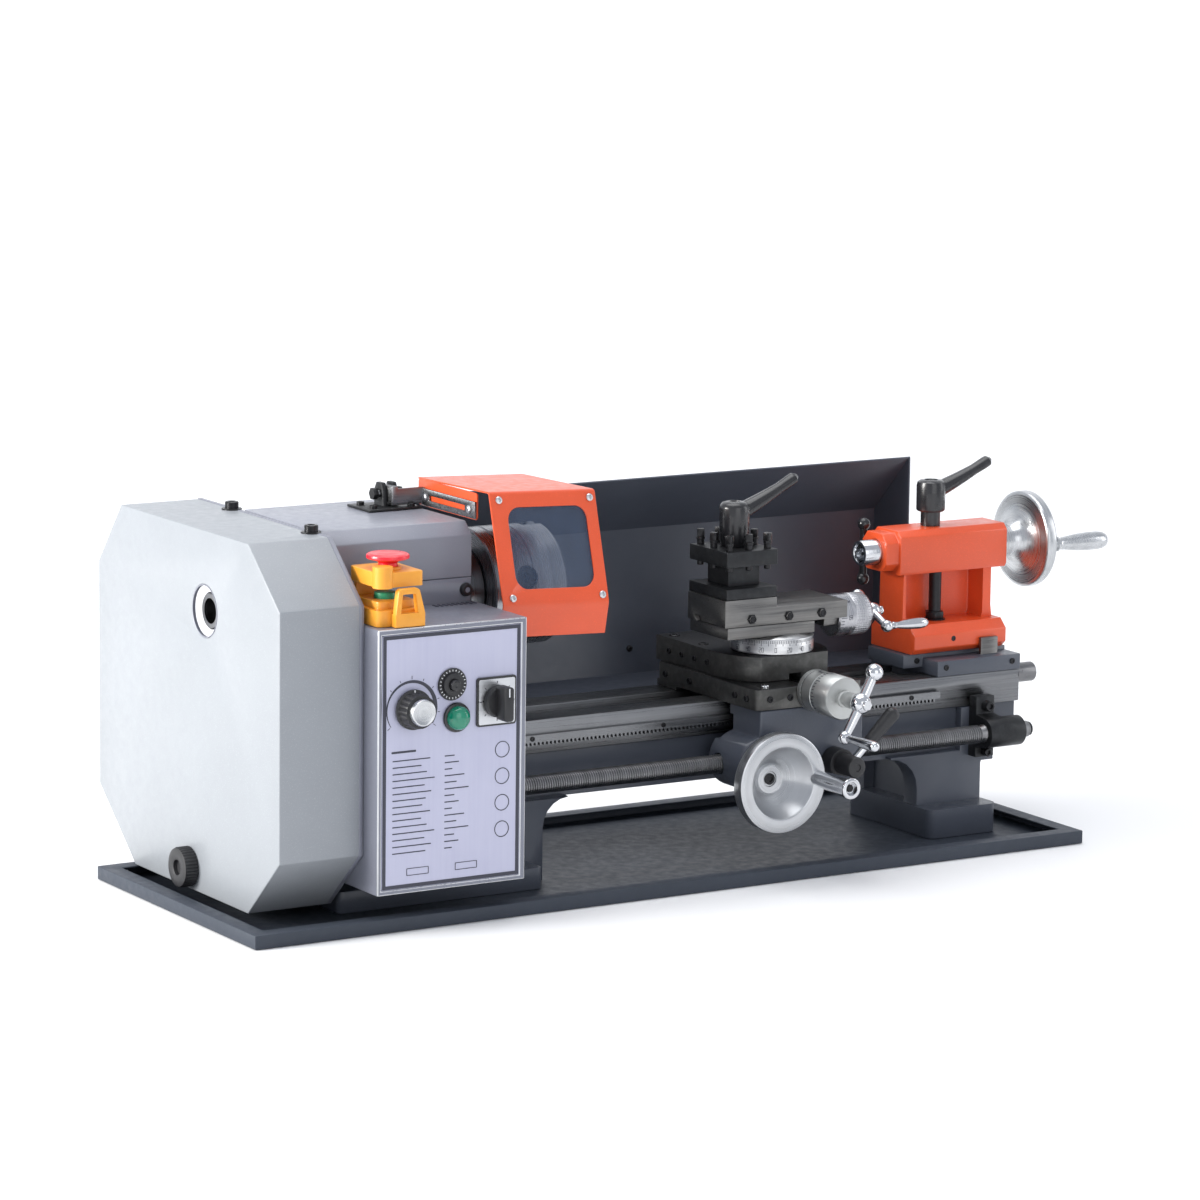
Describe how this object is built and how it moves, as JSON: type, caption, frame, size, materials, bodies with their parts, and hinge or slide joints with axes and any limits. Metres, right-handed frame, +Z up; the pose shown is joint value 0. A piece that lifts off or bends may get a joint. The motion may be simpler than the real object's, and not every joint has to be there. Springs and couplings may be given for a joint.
{
  "type": "metal lathe",
  "caption": "Bench metal-turning lathe with chip tray, headstock and chuck under a hinged guard, sliding carriage with compound rest, and tailstock.",
  "frame": {"origin": "on the underside of the chip tray, below the spindle axis line, midway along the tray", "axes": "+X along the spindle from headstock to tailstock, -Y towards the operator, +Z up"},
  "size_m": [0.897, 0.4115, 0.3356],
  "materials": {
    "slate_paint": "satin",
    "grey_paint": "satin",
    "orange_paint": "gloss",
    "ground_steel": "ground",
    "black_oxide": "blackened",
    "chrome": "polished",
    "turned_aluminium": "turned",
    "black_plastic": "matt",
    "yellow_plastic": "gloss",
    "red_plastic": "gloss",
    "green_lens": "gloss",
    "panel_print": "satin",
    "window_sheet": "clear",
    "belt_rubber": "matt",
    "gear_steel": "machined"
  },
  "bodies": {
    "machine_base": {"chip_tray": "slate_paint", "bed": "slate_paint", "rack": "ground_steel", "backsplash": "slate_paint", "headstock_casting": "grey_paint", "headstock_cover": "grey_paint", "spindle_bearing_rear": "ground_steel", "spindle_bearing_front": "ground_steel", "motor": "black_oxide", "drive_belt": "belt_rubber", "gear_quadrant": "black_oxide", "control_box": "grey_paint", "control_panel": "panel_print", "pilot_lamp": "green_lens", "selector_plate": "turned_aluminium", "estop_base": "yellow_plastic", "guard_bracket": "black_oxide", "leadscrew_bracket_right": "black_oxide", "leadscrew_bracket_left": "black_oxide"},
    "spindle_line": {"spindle": "black_oxide", "spindle_pulley": "turned_aluminium", "chuck_backplate": "ground_steel", "chuck_body": "ground_steel"},
    "jaw_1": {"chuck_jaw_1": "ground_steel"},
    "jaw_2": {"chuck_jaw_2": "ground_steel"},
    "jaw_3": {"chuck_jaw_3": "ground_steel"},
    "motor_drive": {"motor_pulley": "turned_aluminium"},
    "idler_1": {"idler_gear_1": "gear_steel"},
    "idler_2": {"idler_gear_2": "gear_steel"},
    "feed_screw": {"leadscrew": "ground_steel", "leadscrew_gear": "gear_steel"},
    "end_cover": {"gear_cover": "grey_paint", "gear_cover_knob": "black_plastic"},
    "speed_dial": {"speed_knob": "black_plastic"},
    "breaker": {"breaker_button": "black_plastic"},
    "selector": {"selector_handle": "black_plastic"},
    "start_key": {"start_button": "green_lens"},
    "stop_lid": {"estop_lid": "yellow_plastic"},
    "stop_head": {"estop_mushroom": "red_plastic"},
    "guard": {"guard_arm": "ground_steel", "chuck_guard": "orange_paint", "guard_window": "window_sheet"},
    "carriage": {"saddle": "black_oxide", "apron": "slate_paint"},
    "carriage_wheel": {"apron_handwheel": "turned_aluminium"},
    "nut_lever": {"half_nut_lever": "black_plastic"},
    "feed_crank": {"cross_feed_crank": "chrome"},
    "cross": {"cross_slide": "black_oxide"},
    "rest_swivel": {"compound_swivel": "ground_steel"},
    "top": {"top_slide": "ground_steel"},
    "top_crank": {"top_slide_crank": "chrome"},
    "turret": {"tool_post": "black_oxide"},
    "turret_lever": {"tool_post_lever": "black_oxide"},
    "tailstock": {"tailstock_base": "slate_paint", "tailstock_body": "orange_paint", "tailstock_clamp_rod": "black_oxide"},
    "tail_quill": {"quill": "chrome"},
    "tail_wheel": {"tailstock_handwheel": "turned_aluminium"},
    "tail_clamp": {"tailstock_clamp_lever": "black_oxide"},
    "tail_lock": {"quill_lock_lever": "black_oxide"}
  },
  "joints": [
    {"name": "spindle_spin", "type": "hinge", "parent": "machine_base", "child": "spindle_line", "pos_m": [-0.2, 0, 0.2427], "axis": [1, 0, 0], "continuous": true},
    {"name": "jaw_1_slide", "type": "slide", "parent": "spindle_line", "child": "jaw_1", "axis": [0, 0, 1], "range_m": [-0.002, 0.008]},
    {"name": "jaw_2_slide", "type": "slide", "parent": "spindle_line", "child": "jaw_2", "axis": [0, -0.866, -0.5], "range_m": [-0.002, 0.008]},
    {"name": "jaw_3_slide", "type": "slide", "parent": "spindle_line", "child": "jaw_3", "axis": [0, 0.866, -0.5], "range_m": [-0.002, 0.008]},
    {"name": "motor_pulley_spin", "type": "hinge", "parent": "machine_base", "child": "motor_drive", "pos_m": [-0.321, 0.118, 0.095], "axis": [1, 0, 0], "continuous": true},
    {"name": "idler_1_spin", "type": "hinge", "parent": "machine_base", "child": "idler_1", "pos_m": [-0.341, -0.02206, 0.19561], "axis": [1, 0, 0], "continuous": true},
    {"name": "idler_2_spin", "type": "hinge", "parent": "machine_base", "child": "idler_2", "pos_m": [-0.341, -0.04702, 0.14232], "axis": [1, 0, 0], "continuous": true},
    {"name": "leadscrew_spin", "type": "hinge", "parent": "machine_base", "child": "feed_screw", "pos_m": [0, -0.072, 0.089], "axis": [1, 0, 0], "continuous": true},
    {"name": "end_cover_pull", "type": "slide", "parent": "machine_base", "child": "end_cover", "axis": [-1, 0, 0], "range_m": [0, 0.12]},
    {"name": "speed_knob_turn", "type": "hinge", "parent": "machine_base", "child": "speed_dial", "pos_m": [-0.266, -0.15, 0.18], "axis": [0, -1, 0], "range_deg": [-140, 140]},
    {"name": "breaker_press", "type": "slide", "parent": "machine_base", "child": "breaker", "axis": [0, 1, 0], "range_m": [0, 0.002], "stiffness_N_per_m": 300},
    {"name": "selector_turn", "type": "hinge", "parent": "machine_base", "child": "selector", "pos_m": [-0.19, -0.152, 0.18], "axis": [0, -1, 0], "range_deg": [-90, 90]},
    {"name": "start_press", "type": "slide", "parent": "machine_base", "child": "start_key", "axis": [0, 0, -1], "range_m": [0, 0.003], "stiffness_N_per_m": 300},
    {"name": "stop_lid_lift", "type": "hinge", "parent": "machine_base", "child": "stop_lid", "pos_m": [-0.27, -0.092, 0.278], "axis": [1, 0, 0], "range_deg": [-80, 0]},
    {"name": "stop_head_press", "type": "slide", "parent": "stop_lid", "child": "stop_head", "axis": [0, 0, -1], "range_m": [0, 0.002], "stiffness_N_per_m": 400},
    {"name": "guard_lift", "type": "hinge", "parent": "machine_base", "child": "guard", "pos_m": [-0.188, 0.033, 0.321], "axis": [-1, 0, 0], "range_deg": [0, 95]},
    {"name": "carriage_slide", "type": "slide", "parent": "machine_base", "child": "carriage", "axis": [1, 0, 0], "range_m": [-0.095, 0.04]},
    {"name": "carriage_wheel_turn", "type": "hinge", "parent": "carriage", "child": "carriage_wheel", "pos_m": [0.095, -0.115, 0.0815], "axis": [0, -1, 0], "range_deg": [-2100, 900]},
    {"name": "half_nut_lever_turn", "type": "hinge", "parent": "carriage", "child": "nut_lever", "pos_m": [0.164, -0.115, 0.089], "axis": [0, 1, 0], "range_deg": [-35, 0]},
    {"name": "cross_feed_turn", "type": "hinge", "parent": "carriage", "child": "feed_crank", "pos_m": [0.1436, -0.15, 0.151], "axis": [0, 1, 0], "range_deg": [-4300, 7220]},
    {"name": "cross_slide_travel", "type": "slide", "parent": "carriage", "child": "cross", "axis": [0, 1, 0], "range_m": [-0.0238, 0.04]},
    {"name": "compound_swivel_turn", "type": "hinge", "parent": "cross", "child": "rest_swivel", "pos_m": [0.14, -0.046, 0.1765], "axis": [0, 0, -1], "range_deg": [-45, 45]},
    {"name": "top_slide_travel", "type": "slide", "parent": "rest_swivel", "child": "top", "axis": [1, 0, 0], "range_m": [-0.019, 0.009]},
    {"name": "top_slide_turn", "type": "hinge", "parent": "top", "child": "top_crank", "pos_m": [0.24, -0.046, 0.2], "axis": [1, 0, 0], "range_deg": [-4580, 2180]},
    {"name": "tool_post_turn", "type": "hinge", "parent": "top", "child": "turret", "pos_m": [0.1003, -0.046, 0.2267], "axis": [0, 0, 1], "continuous": true},
    {"name": "tool_post_lever_turn", "type": "hinge", "parent": "top", "child": "turret_lever", "pos_m": [0.1003, -0.046, 0.267], "axis": [0, 0, 1], "range_deg": [-90, 0]},
    {"name": "tailstock_slide", "type": "slide", "parent": "machine_base", "child": "tailstock", "axis": [1, 0, 0], "range_m": [-0.035, 0]},
    {"name": "tailstock_wheel_turn", "type": "hinge", "parent": "tailstock", "child": "tail_wheel", "pos_m": [0.43, 0, 0.242], "axis": [1, 0, 0], "range_deg": [-4340, 4700]},
    {"name": "quill_travel", "type": "slide", "parent": "tailstock", "child": "tail_quill", "axis": [-1, 0, 0], "range_m": [-0.024, 0.026]},
    {"name": "tailstock_clamp_turn", "type": "hinge", "parent": "tailstock", "child": "tail_clamp", "pos_m": [0.333, 0, 0.275], "axis": [0, 0, 1], "range_deg": [-60, 60]},
    {"name": "quill_lock_turn", "type": "hinge", "parent": "tailstock", "child": "tail_lock", "pos_m": [0.282, 0.021, 0.24], "axis": [0, 1, 0], "range_deg": [-60, 60]}
  ],
  "couplings": [
    {"joint": "jaw_2_slide", "follows": "jaw_1_slide", "ratio": 1},
    {"joint": "jaw_3_slide", "follows": "jaw_1_slide", "ratio": 1},
    {"joint": "motor_pulley_spin", "follows": "spindle_spin", "ratio": 1.7273},
    {"joint": "idler_1_spin", "follows": "spindle_spin", "ratio": -0.73333},
    {"joint": "idler_2_spin", "follows": "spindle_spin", "ratio": 0.76257},
    {"joint": "leadscrew_spin", "follows": "spindle_spin", "ratio": -0.73264},
    {"joint": "carriage_wheel_turn", "follows": "carriage_slide", "rad_per_m": 349.07},
    {"joint": "cross_feed_turn", "follows": "cross_slide_travel", "rad_per_m": 3141.6},
    {"joint": "top_slide_turn", "follows": "top_slide_travel", "rad_per_m": 4188.8},
    {"joint": "tailstock_wheel_turn", "follows": "quill_travel", "rad_per_m": 3141.6}
  ]
}
